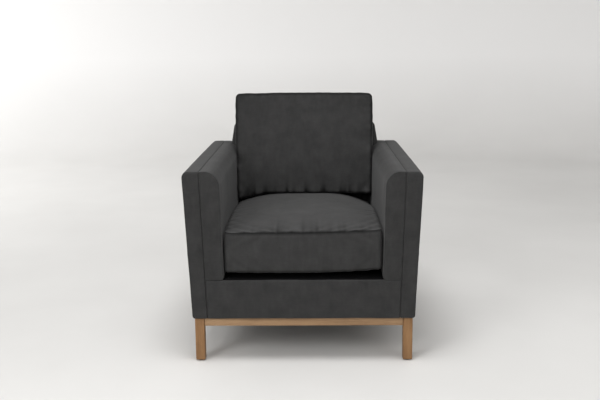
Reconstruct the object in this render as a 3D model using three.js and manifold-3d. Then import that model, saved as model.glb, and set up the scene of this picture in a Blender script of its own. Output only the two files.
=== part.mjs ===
// Upholstered armchair: a timber base, a hidden timber body frame, a sprung seat, covered arms and
// back, and two loose zipped cushions. Millimetres, +Z up, the front faces -Y, and the origin lies
// on the floor under the middle of the chair.
import * as THREE from "three";
import { mergeVertices } from "three/addons/utils/BufferGeometryUtils.js";
import Module from "manifold-3d";

const wasm = await Module();
wasm.setup();

// Overall sizes
const halfWidth = 400;
const halfDepth = 410;
const overallHeight = 880;
const gap = 0.3; // clearance between pieces that touch

// Base: legs, rails and the parts that hold them
const legSide = 32;
const legOuterX = 372;
const legOuterY = 400;
const glideHeight = 4;
const glideRadius = 11;
const glidePin = { radius: 3, top: 15 };
const baseTop = 152.5;
const baseRail = { thickness: 22, height: 28, setBack: 5 };
const baseTenon = { thickness: 12, height: 20, length: 9 };
const cornerBlock = { leg: 78, height: 24 };
const screw = { x: 250, shank: 3, head: 6, headHeight: 4.7, top: 190, hole: 3.4 };

// Body: the heights that the upholstery and its frame share
const bodyBottom = 155;
const seatRailTop = 280;
const padBottom = 290;
const deckTop = 298;
const armTop = 658;
const backTop = 749;
const wall = 8; // fabric, wadding and board of a covered panel
const dustCover = { bottom: 152.8, thickness: 1.4, inset: 10 };

// Arms flare outwards from the seat to the top
const armBottomX = 378;
const armEdgeRadius = 20;
const seamBottomX = 327;
const seamTopX = 343;
const padInnerX = 269.1;
const padInnerFlare = 0.027;
const padEdgeRadius = 46;

// Body frame timbers
const seatRail = { thickness: 25, outerY: 395.7, endX: 344.2, sideOuterX: 369.5 };
const seatTenon = { thickness: 10, height: 90, length: 12 };
const armPost = { thickness: 30, depth: 45, top: 609.7, tenonWidth: 14, tenonHeight: 14 };
const armPanel = { offset: 0.6, thickness: 9.4 };
const frameDepth = 400;

// Back: raked in front, upright behind
const rake = 0.1397; // run back for each unit of rise
const rakeFoot = 280; // front face of the back at the deck
const backHalfWidth = 309;
const backShoulderX = 300;
const shoulderRadius = 24;
const backSideWall = 10;
const backFoam = 25;
const backPost = { innerX: 262, thickness: 25, top: 700, tenonY: [380, 392], footY: [376, 390] };
const backTopRail = { halfLength: 285, top: 724, frontY: 372, rearY: 398 };

// Seat springs and back webbing
const spring = { spacing: 100, count: 5, waves: 10, swing: 22, wire: 1.9, facets: 3 };
const webbing = { heights: [400, 510, 620], width: 50, thickness: 2.4, halfLength: 285 };

// Loose cushions
const seatCushion = { halfWidth: 268, front: -400, rear: 268, seamLow: 312, seamHigh: 457 };
const seatCrown = { top: 29, bottom: 13.5 };
const backCushion = { halfWidth: 272, border: 118, lean: 8, footY: 150, footZ: 478 };
const backCrown = { front: 17, rear: 14 };
const coverThickness = 4;
const zip = { length: 470, width: 10, depth: 3 };
const zipSlider = { length: 14, width: 8, depth: 4, pullLength: 24, pullWidth: 5, pullDepth: 1.6 };
const backZipFromRear = 28;

// Finishes
const velvet = { color: 0x3a3a3b, roughness: 0.9, metalness: 0 };
const oak = { color: 0x8c6c4d, roughness: 0.55, metalness: 0 };
const softwood = { color: 0xc2a379, roughness: 0.8, metalness: 0 };
const plywood = { color: 0xb89a6c, roughness: 0.8, metalness: 0 };
const foam = { color: 0xe6dfc4, roughness: 1, metalness: 0 };
const blackCloth = { color: 0x17171a, roughness: 0.95, metalness: 0 };
const strap = { color: 0x6b5f4c, roughness: 0.9, metalness: 0 };
const steel = { color: 0x8b8e92, roughness: 0.35, metalness: 1 };
const blackPlastic = { color: 0x141414, roughness: 0.5, metalness: 0 };

const chair = new THREE.Group();
const sides = { left: -1, right: 1 };
const ends = { front: -1, rear: 1 };

// Solids

function solidOf(geometry) {
  const bare = geometry.clone();
  bare.deleteAttribute("normal");
  bare.deleteAttribute("uv");
  const merged = mergeVertices(bare, 1e-4);
  const vertProperties = merged.attributes.position.array;
  const triVerts = new Uint32Array(merged.index.array);
  return new wasm.Manifold(new wasm.Mesh({ numProp: 3, vertProperties, triVerts }));
}

function geometryOf(solid) {
  const { vertProperties, triVerts } = solid.getMesh();
  const geometry = new THREE.BufferGeometry();
  geometry.setAttribute("position", new THREE.BufferAttribute(vertProperties, 3));
  geometry.setIndex(new THREE.BufferAttribute(triVerts, 1));
  const faceted = geometry.toNonIndexed();
  faceted.computeVertexNormals();
  return faceted;
}

function cut(geometry, ...tools) {
  const left = tools.reduce((solid, tool) => solid.subtract(solidOf(tool)), solidOf(geometry));
  return geometryOf(left);
}

function join(...geometries) {
  return geometryOf(geometries.map(solidOf).reduce((whole, piece) => whole.add(piece)));
}

function common(first, second) {
  return geometryOf(solidOf(first).intersect(solidOf(second)));
}

// A box between two corners
function block(low, high) {
  const size = high.map((value, axis) => value - low[axis]);
  const middle = high.map((value, axis) => (value + low[axis]) / 2);
  return new THREE.BoxGeometry(...size).translate(...middle);
}

// An upright round bar between two heights
function bar(x, y, radius, low, high, segments = 16) {
  const round = new THREE.CylinderGeometry(radius, radius, high - low, segments);
  return round.rotateX(Math.PI / 2).translate(x, y, (low + high) / 2);
}

function polygon(points) {
  return new THREE.Shape(points.map(([a, b]) => new THREE.Vector2(a, b)));
}

// The frames that an outline is drawn in: its first and second directions, then its length
const directions = {
  x: new THREE.Matrix4().set(0, 0, 1, 0, 1, 0, 0, 0, 0, 1, 0, 0, 0, 0, 0, 1),
  y: new THREE.Matrix4().makeRotationX(Math.PI / 2),
  z: new THREE.Matrix4(),
};

// An outline given length along an axis, from low to high, with its end edges eased
function prism(outline, axis, low, high, ease = 0) {
  const length = high - low;
  const geometry = new THREE.ExtrudeGeometry(outline, {
    depth: length - 2 * ease,
    bevelEnabled: ease > 0,
    bevelThickness: ease,
    bevelSize: ease,
    bevelOffset: -ease,
    bevelSegments: 2,
    curveSegments: 3,
  });
  geometry.translate(0, 0, ease - length / 2);
  geometry.applyMatrix4(directions[axis]);
  const shift = { x: 0, y: 0, z: 0, [axis]: (low + high) / 2 };
  return geometry.translate(shift.x, shift.y, shift.z);
}

function place(parent, name, geometry, finish) {
  const mesh = new THREE.Mesh(geometry, new THREE.MeshStandardMaterial(finish));
  mesh.name = name;
  parent.add(mesh);
  return mesh;
}

// A rail with a tenon at each end, lying along an axis
function tenonedRail(axis, halfLength, centre, thickness, low, height, tenon) {
  const middle = low + height / 2;
  const reach = halfLength + tenon.length;
  const across = (half) => [centre - half, centre + half];
  const make = (half, width, tall) => {
    const [near, far] = across(width / 2);
    const bottom = middle - tall / 2;
    const top = middle + tall / 2;
    return axis === "x"
      ? block([-half, near, bottom], [half, far, top])
      : block([near, -half, bottom], [far, half, top]);
  };
  return join(make(halfLength, thickness, height), make(reach, tenon.thickness, tenon.height));
}

// Base

const baseRailCentre = (outer) => outer - baseRail.setBack - baseRail.thickness / 2;
const baseRailLow = baseTop - baseRail.height;
const baseRailMiddle = baseTop - baseRail.height / 2;

function legMortise(inner, centre, alongX) {
  const deep = [inner - 1, inner + baseTenon.length + gap];
  const half = baseTenon.thickness / 2 + gap;
  const tall = baseTenon.height / 2 + gap;
  const [low, high] = [baseRailMiddle - tall, baseRailMiddle + tall];
  return alongX
    ? block([deep[0], centre - half, low], [deep[1], centre + half, high])
    : block([centre - half, deep[0], low], [centre + half, deep[1], high]);
}

// One leg at the right rear: the other three mirror it
function legGeometry() {
  const half = legSide / 2;
  const round = 3;
  const outline = new THREE.Shape();
  outline.absarc(half - round, half - round, round, 0, Math.PI / 2);
  outline.absarc(round - half, half - round, round, Math.PI / 2, Math.PI);
  outline.absarc(round - half, round - half, round, Math.PI, 1.5 * Math.PI);
  outline.absarc(half - round, round - half, round, 1.5 * Math.PI, 2 * Math.PI);
  const [x, y] = [legOuterX - half, legOuterY - half];
  const post = prism(outline, "z", glideHeight, baseTop).translate(x, y, 0);
  return cut(
    post,
    legMortise(legOuterX - legSide, baseRailCentre(legOuterY), true),
    legMortise(legOuterY - legSide, baseRailCentre(legOuterX), false),
    bar(x, y, glidePin.radius + gap, glideHeight - 1, glidePin.top + gap),
  );
}

function glideGeometry() {
  const seat = glideHeight - gap;
  const profile = [
    [0, 0],
    [glideRadius - 1.2, 0],
    [glideRadius, 1.2],
    [glideRadius, seat],
    [glidePin.radius, seat],
    [glidePin.radius, glidePin.top],
    [0, glidePin.top],
  ].map(([r, z]) => new THREE.Vector2(r, z));
  const turned = new THREE.LatheGeometry(profile, 20).rotateX(Math.PI / 2);
  return turned.translate(legOuterX - legSide / 2, legOuterY - legSide / 2, 0);
}

// A three-cornered block behind the leg, notched round the leg's inner corner
function cornerBlockGeometry() {
  const railX = legOuterX - baseRail.setBack - baseRail.thickness - gap;
  const railY = legOuterY - baseRail.setBack - baseRail.thickness - gap;
  const legX = legOuterX - legSide - gap;
  const legY = legOuterY - legSide - gap;
  const outline = polygon([
    [railX, railY - cornerBlock.leg],
    [railX, legY],
    [legX, legY],
    [legX, railY],
    [railX - cornerBlock.leg, railY],
  ]);
  return prism(outline, "z", baseTop - cornerBlock.height, baseTop);
}

function screwHoles(low, high, radius) {
  const y = baseRailCentre(legOuterY);
  return [-1, 1].map((side) => bar(side * screw.x, y, radius, low, high));
}

function baseScrewGeometry() {
  const y = baseRailCentre(legOuterY);
  const headLow = baseRailLow + 1;
  const headTop = headLow + screw.headHeight;
  const head = bar(screw.x, y, screw.head, headLow, headTop, 6);
  return join(head, bar(screw.x, y, screw.shank, headTop - 1, screw.top));
}

function crossRailGeometry() {
  const halfLength = legOuterX - legSide - gap;
  const centre = baseRailCentre(legOuterY);
  const { thickness, height } = baseRail;
  const rail = tenonedRail("x", halfLength, centre, thickness, baseRailLow, height, baseTenon);
  const sink = screw.headHeight + 1 + gap;
  return cut(
    rail,
    ...screwHoles(baseRailLow - 1, baseTop + 1, screw.hole),
    ...screwHoles(baseRailLow - 1, baseRailLow + sink, screw.head + 1),
  );
}

function sideRailGeometry() {
  const halfLength = legOuterY - legSide - gap;
  const centre = baseRailCentre(legOuterX);
  const { thickness, height } = baseRail;
  return tenonedRail("y", halfLength, centre, thickness, baseRailLow, height, baseTenon);
}

function addBase() {
  for (const [end, along] of Object.entries(ends)) {
    for (const [side, across] of Object.entries(sides)) {
      const corner = new THREE.Group();
      corner.scale.set(across, along, 1);
      place(corner, `${end}_${side}_leg`, legGeometry(), oak);
      place(corner, `${end}_${side}_glide`, glideGeometry(), blackPlastic);
      place(corner, `${end}_${side}_corner_block`, cornerBlockGeometry(), softwood);
      place(corner, `${end}_${side}_base_screw`, baseScrewGeometry(), steel);
      chair.add(corner);
    }
    place(chair, `${end}_base_rail`, crossRailGeometry(), oak).scale.y = along;
  }
  for (const [side, across] of Object.entries(sides)) {
    place(chair, `${side}_base_rail`, sideRailGeometry(), oak).scale.x = across;
  }
}

// Body frame

const seamX = (z) => {
  const share = (z - bodyBottom) / (armTop - bodyBottom);
  return seamBottomX + (seamTopX - seamBottomX) * share;
};
const armOuterX = (z) => {
  const rise = armTop - armEdgeRadius - bodyBottom;
  return armBottomX + ((halfWidth - armBottomX) * (z - bodyBottom)) / rise;
};
const backFrontY = (z) => rakeFoot + rake * (z - deckTop);
const postInnerX = (z) => seamX(z) + armPanel.offset + armPanel.thickness + gap;
const seatRailLow = bodyBottom - gap;
const seatRailCentreY = seatRail.outerY - seatRail.thickness / 2;
const seatRailMiddle = (seatRailLow + seatRailTop) / 2;

// The front and rear seat rails are alike, but the rear one also takes the feet of the back posts
function seatCrossRailGeometry(withPostMortises) {
  const height = seatRailTop - seatRailLow;
  const { thickness, endX } = seatRail;
  const y = seatRailCentreY;
  const rail = tenonedRail("x", endX, y, thickness, seatRailLow, height, seatTenon);
  const holes = screwHoles(seatRailLow - 1, screw.top + 1, screw.hole);
  const [near, far] = backPost.footY;
  const low = seatRailTop - armPost.tenonHeight - 1;
  const mortises = [-1, 1].map((side) => {
    const middle = side * (backPost.innerX + backPost.thickness / 2);
    const half = backPost.thickness / 2 + gap;
    return block([middle - half, near - gap, low], [middle + half, far + gap, seatRailTop + 1]);
  });
  return cut(rail, ...holes, ...(withPostMortises ? mortises : []));
}

const postTenonX = (z) => {
  const middle = postInnerX(z) + armPost.thickness / 2;
  return [middle - armPost.tenonWidth / 2, middle + armPost.tenonWidth / 2];
};

function postMortises(z, low, high) {
  const [inner, outer] = postTenonX(z);
  const near = frameDepth - armPost.depth - gap;
  return [-1, 1].map((end) => {
    const [a, b] = [end * near, end * (frameDepth + 1)].sort((p, q) => p - q);
    return block([inner - gap, a, low], [outer + gap, b, high]);
  });
}

function seatSideRailGeometry() {
  const innerX = seatRail.sideOuterX - seatRail.thickness;
  const rail = block(
    [innerX, -frameDepth, seatRailLow],
    [seatRail.sideOuterX, frameDepth, seatRailTop],
  );
  const half = seatTenon.thickness / 2 + gap;
  const tall = seatTenon.height / 2 + gap;
  const deep = seatRail.endX + seatTenon.length + gap;
  const mortises = [-1, 1].map((end) => {
    const y = end * seatRailCentreY;
    return block(
      [innerX - 1, y - half, seatRailMiddle - tall],
      [deep, y + half, seatRailMiddle + tall],
    );
  });
  const postLow = seatRailTop - armPost.tenonHeight - 1;
  return cut(rail, ...mortises, ...postMortises(seatRailTop, postLow, seatRailTop + 1));
}

// An arm post leans with the arm and ends in a tenon at the seat rail and at the top rail
function armPostGeometry(end) {
  const foot = seatRailTop + gap;
  const { thickness, depth, top, tenonHeight } = armPost;
  const [footIn, footOut] = postTenonX(seatRailTop);
  const [headIn, headOut] = postTenonX(top);
  const outline = polygon([
    [postInnerX(foot), foot],
    [footIn, foot],
    [footIn, foot - tenonHeight],
    [footOut, foot - tenonHeight],
    [footOut, foot],
    [postInnerX(foot) + thickness, foot],
    [postInnerX(top) + thickness, top],
    [headOut, top],
    [headOut, top + tenonHeight],
    [headIn, top + tenonHeight],
    [headIn, top],
    [postInnerX(top), top],
  ]);
  const [low, high] = [end * frameDepth, end * (frameDepth - depth)].sort((a, b) => a - b);
  return prism(outline, "y", low, high);
}

function leaningBoard(innerX, thickness, low, high) {
  return polygon([
    [innerX(low), low],
    [innerX(low) + thickness, low],
    [innerX(high) + thickness, high],
    [innerX(high), high],
  ]);
}

function armTopRailGeometry() {
  const low = armPost.top + gap;
  const high = armTop - wall - gap;
  const outline = leaningBoard(postInnerX, armPost.thickness, low, high);
  const rail = prism(outline, "y", -frameDepth, frameDepth);
  const mortiseTop = armPost.top + armPost.tenonHeight + 1;
  return cut(rail, ...postMortises(armPost.top, low - 1, mortiseTop));
}

function armPanelGeometry() {
  const innerX = (z) => seamX(z) + armPanel.offset;
  const outline = leaningBoard(innerX, armPanel.thickness, seatRailTop + 1, armTop - wall - gap);
  return prism(outline, "y", -frameDepth, frameDepth);
}

function backPostGeometry() {
  const foot = seatRailTop + gap;
  const { top, footY, tenonY, innerX, thickness } = backPost;
  const frontOf = (z) => backFrontY(z) + backFoam + 5;
  const outline = polygon([
    [frontOf(foot), foot],
    [footY[0], foot],
    [footY[0], foot - armPost.tenonHeight],
    [footY[1], foot - armPost.tenonHeight],
    [footY[1], foot],
    [frameDepth, foot],
    [frameDepth, top],
    [tenonY[1], top],
    [tenonY[1], top + 12],
    [tenonY[0], top + 12],
    [tenonY[0], top],
    [frontOf(top), top],
  ]);
  return prism(outline, "x", innerX, innerX + thickness);
}

function backTopRailGeometry() {
  const { halfLength, top, frontY, rearY } = backTopRail;
  const low = backPost.top + gap;
  const rail = block([-halfLength, frontY, low], [halfLength, rearY, top]);
  const [near, far] = backPost.tenonY;
  const mortises = [-1, 1].map((side) => {
    const middle = side * (backPost.innerX + backPost.thickness / 2);
    const half = backPost.thickness / 2 + gap;
    const high = backPost.top + 13;
    return block([middle - half, near - gap, low - 1], [middle + half, far + gap, high]);
  });
  return cut(rail, ...mortises);
}

function addBodyFrame() {
  place(chair, "front_seat_rail", seatCrossRailGeometry(false), softwood).scale.y = -1;
  place(chair, "rear_seat_rail", seatCrossRailGeometry(true), softwood);
  place(chair, "back_top_rail", backTopRailGeometry(), softwood);
  for (const [side, across] of Object.entries(sides)) {
    const half = new THREE.Group();
    half.scale.x = across;
    place(half, `${side}_seat_rail`, seatSideRailGeometry(), softwood);
    place(half, `${side}_arm_front_post`, armPostGeometry(ends.front), softwood);
    place(half, `${side}_arm_rear_post`, armPostGeometry(ends.rear), softwood);
    place(half, `${side}_arm_top_rail`, armTopRailGeometry(), softwood);
    place(half, `${side}_arm_inner_panel`, armPanelGeometry(), plywood);
    place(half, `${side}_back_post`, backPostGeometry(), plywood);
    chair.add(half);
  }
}

// Springs and webbing

// A serpentine spring runs from the front seat rail to the rear one
function springGeometry() {
  const { waves, swing, wire, facets } = spring;
  const reach = seatRailCentreY;
  const pointsPerWave = 6;
  const count = waves * pointsPerWave;
  const points = Array.from({ length: count + 1 }, (_, i) => {
    const y = -reach + (2 * reach * i) / count;
    return new THREE.Vector3(swing * Math.sin((2 * Math.PI * i) / pointsPerWave), y, 0);
  });
  const section = new THREE.Shape().absarc(0, 0, wire, 0, 2 * Math.PI);
  return new THREE.ExtrudeGeometry(section, {
    steps: count,
    curveSegments: facets,
    bevelEnabled: false,
    extrudePath: new THREE.CatmullRomCurve3(points),
  });
}

function addSuspension() {
  for (let i = 0; i < spring.count; i += 1) {
    const mesh = place(chair, `seat_spring_${i + 1}`, springGeometry(), steel);
    const x = (i - (spring.count - 1) / 2) * spring.spacing;
    mesh.position.set(x, 0, seatRailTop + spring.wire + 1);
  }
  webbing.heights.forEach((z, i) => {
    const band = new THREE.BoxGeometry(2 * webbing.halfLength, webbing.thickness, webbing.width);
    const mesh = place(chair, `back_webbing_${i + 1}`, band, strap);
    mesh.position.set(0, backFrontY(z) + backFoam + 2.5, z);
    mesh.rotation.x = -Math.atan(rake);
  });
}

// Upholstery

// The outer slab of an arm: a covered shell, open below and towards the seat
function armCoverGeometry() {
  const outline = new THREE.Shape();
  const topEdge = armTop - armEdgeRadius;
  outline.moveTo(seamX(bodyBottom), bodyBottom);
  outline.lineTo(armBottomX, bodyBottom);
  outline.absarc(halfWidth - armEdgeRadius, topEdge, armEdgeRadius, 0, Math.PI / 2);
  outline.lineTo(seamX(armTop), armTop);
  const slab = prism(outline, "y", -halfDepth, halfDepth, 6);
  const low = bodyBottom - 50;
  const high = armTop - wall;
  const inside = polygon([
    [padInnerX, low],
    [armOuterX(low) - wall, low],
    [armOuterX(high) - wall, high],
    [padInnerX, high],
  ]);
  return cut(slab, prism(inside, "y", wall - halfDepth, halfDepth - wall));
}

// The back's outline from behind: upright sides, drawn in above the arms, with round shoulders
function backOutline(grow, low) {
  const half = backHalfWidth + grow;
  const shoulder = backShoulderX + grow;
  const radius = shoulderRadius + grow;
  const centreX = backShoulderX - shoulderRadius;
  const centreZ = backTop - shoulderRadius;
  const outline = new THREE.Shape();
  outline.moveTo(-half, low);
  outline.lineTo(half, low);
  outline.lineTo(half, armTop);
  outline.lineTo(shoulder, centreZ);
  outline.absarc(centreX, centreZ, radius, 0, Math.PI / 2);
  outline.absarc(-centreX, centreZ, radius, Math.PI / 2, Math.PI);
  outline.lineTo(-half, armTop);
  return outline;
}

// The raked back as a solid, grown or shrunk at its sides and front
function backForm(grow, growFront, low, rear) {
  const top = backTop + grow;
  const round = 18;
  const frontOf = (z) => backFrontY(z) - growFront;
  const section = new THREE.Shape();
  section.moveTo(rear, low);
  section.lineTo(rear, top);
  section.lineTo(frontOf(top) + round, top);
  section.quadraticCurveTo(frontOf(top), top, frontOf(top - round), top - round);
  section.lineTo(frontOf(low), low);
  const raked = prism(section, "x", -halfWidth, halfWidth);
  return common(raked, prism(backOutline(grow, low), "y", 200, rear));
}

const bodyRear = halfDepth - wall - gap;

// The inner pad of an arm, with a soft inner top edge, notched round the side of the back
function armPadGeometry() {
  const low = padBottom + gap;
  const topInnerX = padInnerX + padInnerFlare * (armTop - padEdgeRadius - padBottom);
  const outline = new THREE.Shape();
  outline.moveTo(padInnerX, low);
  outline.lineTo(seamX(low) - gap, low);
  outline.lineTo(seamX(armTop) - gap, armTop);
  const centreX = topInnerX + padEdgeRadius;
  outline.absarc(centreX, armTop - padEdgeRadius, padEdgeRadius, Math.PI / 2, Math.PI);
  const pad = prism(outline, "y", 2 - halfDepth, bodyRear, 8);
  return cut(pad, backForm(0.5, 0.5, bodyBottom, halfDepth + 50));
}

function frontBorderGeometry() {
  const low = bodyBottom;
  const high = padBottom - gap;
  const outline = polygon([
    [gap - seamX(low), low],
    [seamX(low) - gap, low],
    [seamX(high) - gap, high],
    [gap - seamX(high), high],
  ]);
  return prism(outline, "y", 1 - halfDepth, -seatRail.outerY - gap, 3);
}

function backPadGeometry() {
  const low = padBottom + gap;
  const form = backForm(0, 0, low, bodyRear);
  return cut(form, backForm(-backSideWall, -backFoam, low - 60, halfDepth + 40));
}

// The outside back closes the rear of the back and of the arm pads, between the two arm slabs
function backOutsideGeometry() {
  const step = armTop - gap;
  const lower = polygon([
    [gap - seamX(bodyBottom), bodyBottom],
    [seamX(bodyBottom) - gap, bodyBottom],
    [seamX(step) - gap, step],
    [gap - seamX(step), step],
  ]);
  const rear = [halfDepth - wall, halfDepth];
  return join(
    prism(lower, "y", ...rear, 3),
    prism(backOutline(0, armTop - 60), "y", ...rear, 3),
  );
}

function dustCoverGeometry() {
  const { bottom, thickness, inset } = dustCover;
  const [x, y] = [armBottomX - inset, halfDepth - inset];
  const sheet = block([-x, -y, bottom], [x, y, bottom + thickness]);
  const front = screwHoles(bottom - 1, bottom + 3, screw.hole + 1);
  const rear = screwHoles(bottom - 1, bottom + 3, screw.hole + 1).map((hole) =>
    hole.rotateZ(Math.PI),
  );
  return cut(sheet, ...front, ...rear);
}

function addUpholstery() {
  for (const [side, across] of Object.entries(sides)) {
    place(chair, `${side}_arm_cover`, armCoverGeometry(), velvet).scale.x = across;
    place(chair, `${side}_arm_pad`, armPadGeometry(), velvet).scale.x = across;
  }
  const deckHalf = padInnerX - 0.6;
  const deck = block([-deckHalf, -404, padBottom], [deckHalf, rakeFoot - 1.6, deckTop]);
  place(chair, "front_border", frontBorderGeometry(), velvet);
  place(chair, "seat_deck", deck, blackCloth);
  place(chair, "back_inside_pad", backPadGeometry(), velvet);
  place(chair, "back_outside_panel", backOutsideGeometry(), velvet);
  place(chair, "dust_cover", dustCoverGeometry(), blackCloth);
}

// Cushions

// A boxed cushion lying flat, centred on its border, its two large faces crowned
function cushionForm(width, length, border, crownUp, crownDown, inset) {
  const [w, l, b] = [width - 2 * inset, length - 2 * inset, border - 2 * inset];
  const form = new THREE.BoxGeometry(w, l, b, 8, 8, 2);
  const point = form.attributes.position;
  for (let i = 0; i < point.count; i += 1) {
    const u = point.getX(i) / (w / 2);
    const v = point.getY(i) / (l / 2);
    const t = point.getZ(i) / (b / 2);
    const crown = t > 0 ? crownUp * (1 - u * u) * (1 - v * v) : crownDown * (1 - u ** 4) * (1 - v ** 4);
    point.setZ(i, point.getZ(i) + t * crown);
  }
  return form;
}

// A zipped cushion: a hollow cover, the foam core inside it, the zip and the zip's slider.
// The zip lies in the border at the end towards local +Y or -Y, at a height in the border.
function addCushion(parent, name, size, zipEnd, zipZ) {
  const { width, length, border, crownUp, crownDown } = size;
  const form = (inset) => cushionForm(width, length, border, crownUp, crownDown, inset);
  const face = (zipEnd * length) / 2;
  const between = (a, b) => [a, b].sort((p, q) => p - q);
  const slab = (half, near, far, halfTall) => {
    const [low, high] = between(face + zipEnd * near, face + zipEnd * far);
    return block([-half, low, zipZ - halfTall], [half, high, zipZ + halfTall]);
  };
  const slot = slab(zip.length / 2 + gap, -coverThickness - 2, 2, zip.width / 2 + gap);
  place(parent, `${name}_cover`, cut(form(0), form(coverThickness), slot), velvet);
  place(parent, `${name}_core`, form(coverThickness + 0.5), foam);
  const tape = slab(zip.length / 2, -zip.depth, 0, zip.width / 2);
  place(parent, `${name}_zip`, tape, blackPlastic);
  const { length: body, width: wide, depth, pullLength, pullWidth, pullDepth } = zipSlider;
  const runner = slab(body / 2, gap, depth, wide / 2);
  const pull = slab(body / 2, depth - pullDepth, depth, pullWidth / 2);
  pull.scale(pullLength / body, 1, 1).translate(pullLength / 2, 0, 0);
  const slider = place(parent, `${name}_zip_slider`, join(runner, pull), steel);
  slider.position.x = (body - zip.length) / 2;
}

function addCushions() {
  const { front, rear, seamLow, seamHigh } = seatCushion;
  const seat = new THREE.Group();
  seat.position.set(0, (front + rear) / 2, (seamLow + seamHigh) / 2);
  const seatSize = {
    width: 2 * seatCushion.halfWidth,
    length: rear - front,
    border: seamHigh - seamLow,
    crownUp: seatCrown.top,
    crownDown: seatCrown.bottom,
  };
  addCushion(seat, "seat_cushion", seatSize, 1, 0);
  chair.add(seat);

  // Stood on its rear edge: local +Y points up the back and local +Z points forwards
  const { border, lean, footY, footZ } = backCushion;
  const back = new THREE.Group();
  const leanAngle = THREE.MathUtils.degToRad(lean);
  const tilt = Math.PI / 2 - leanAngle;
  const rise = overallHeight - footZ + backCrown.front * Math.sin(leanAngle);
  const height = rise / Math.cos(leanAngle);
  back.rotation.x = tilt;
  const middle = new THREE.Vector3(0, height / 2, -(backCrown.front + border / 2));
  middle.applyAxisAngle(new THREE.Vector3(1, 0, 0), tilt);
  back.position.set(0, footY, footZ).add(middle);
  const backSize = {
    width: 2 * backCushion.halfWidth,
    length: height,
    border,
    crownUp: backCrown.front,
    crownDown: backCrown.rear,
  };
  addCushion(back, "back_cushion", backSize, -1, backZipFromRear - border / 2);
  chair.add(back);
}

addBase();
addBodyFrame();
addSuspension();
addUpholstery();
addCushions();

export default chair;
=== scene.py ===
import math
import bmesh
import bpy
from mathutils import Matrix, Vector, kdtree, noise


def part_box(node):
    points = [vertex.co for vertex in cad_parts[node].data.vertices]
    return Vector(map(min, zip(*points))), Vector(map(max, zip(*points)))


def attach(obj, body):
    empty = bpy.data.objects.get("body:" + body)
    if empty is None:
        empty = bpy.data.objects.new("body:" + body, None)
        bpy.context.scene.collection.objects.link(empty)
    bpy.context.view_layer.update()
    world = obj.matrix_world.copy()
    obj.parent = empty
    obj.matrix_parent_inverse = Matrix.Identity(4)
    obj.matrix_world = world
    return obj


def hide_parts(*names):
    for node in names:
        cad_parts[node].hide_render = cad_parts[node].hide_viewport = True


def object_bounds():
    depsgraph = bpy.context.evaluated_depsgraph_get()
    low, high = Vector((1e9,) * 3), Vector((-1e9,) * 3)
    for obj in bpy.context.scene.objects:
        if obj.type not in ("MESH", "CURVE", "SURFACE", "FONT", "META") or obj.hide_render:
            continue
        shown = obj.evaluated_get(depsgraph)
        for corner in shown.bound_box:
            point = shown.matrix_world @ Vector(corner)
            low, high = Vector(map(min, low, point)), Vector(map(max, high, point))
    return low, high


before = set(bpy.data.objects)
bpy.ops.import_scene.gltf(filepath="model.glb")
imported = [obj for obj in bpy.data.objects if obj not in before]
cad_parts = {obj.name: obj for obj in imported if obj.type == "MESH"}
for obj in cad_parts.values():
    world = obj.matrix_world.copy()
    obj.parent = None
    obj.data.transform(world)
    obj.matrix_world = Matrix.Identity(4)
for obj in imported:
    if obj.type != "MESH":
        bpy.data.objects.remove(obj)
cadLow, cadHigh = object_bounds()
scene = bpy.context.scene
mm = 0.001
looks = {}


# Camera, lights and floor

camera = {
    "lens": 46.92,
    "sensor": 36,
    "shift": -0.04,
    "place": (0.0358, -2.943, 1.090),
    "pitch": 9.92,  # degrees down
    "yaw": 0.98,
    "roll": -0.53,
}


def addCamera():
    data = bpy.data.cameras.new("camera")
    data.lens = camera["lens"]
    data.sensor_width = camera["sensor"]
    data.shift_y = camera["shift"]
    eye = bpy.data.objects.new("camera", data)
    scene.collection.objects.link(eye)
    pitch, yaw, roll = (math.radians(camera[name]) for name in ("pitch", "yaw", "roll"))
    aim = Matrix.Rotation(yaw, 4, "Z") @ Matrix.Rotation(math.pi / 2 - pitch, 4, "X")
    eye.matrix_world = Matrix.Translation(camera["place"]) @ aim @ Matrix.Rotation(roll, 4, "Z")
    scene.camera = eye
    print("camera done")


lights = {
    "key": {"place": (-2.3, -3.2, 2.3), "aim": (0, 0, 0.4), "size": 1.8, "power": 60},
    "top": {"place": (-0.1, -0.9, 3.5), "aim": (0, -0.2, 0.2), "size": 1.6, "power": 66},
    "fill": {"place": (2.4, -3.0, 1.6), "aim": (0, 0, 0.4), "size": 2.2, "power": 17},
    "wallWash": {"place": (-3.4, 1.5, 3.2), "aim": (-4.5, 5.0, 1.0), "size": 1.5, "power": 110},
}
sky = {"colour": (1.0, 0.995, 0.985, 1), "strength": 0.62}


def addLights():
    for name, light in lights.items():
        data = bpy.data.lights.new(name, "AREA")
        data.shape = "DISK"
        data.size = light["size"]
        data.energy = light["power"]
        lamp = bpy.data.objects.new(name, data)
        scene.collection.objects.link(lamp)
        place = Vector(light["place"])
        turn = (Vector(light["aim"]) - place).to_track_quat("-Z", "Y")
        lamp.matrix_world = Matrix.Translation(place) @ turn.to_matrix().to_4x4()
    world = bpy.data.worlds.new("studio")
    world.use_nodes = True
    background = world.node_tree.nodes["Background"]
    background.inputs["Color"].default_value = sky["colour"]
    background.inputs["Strength"].default_value = sky["strength"]
    scene.world = world
    scene.view_settings.view_transform = "Standard"
    scene.cycles.use_denoising = True
    print("lights done")


backdrop = {
    "radius": 6.0,
    "bend": 1.6,
    "bendSteps": 12,
    "height": 4.0,
    "drop": 0.4 * mm,  # keeps the floor just under the glides
    "steps": 72,
}


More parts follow.
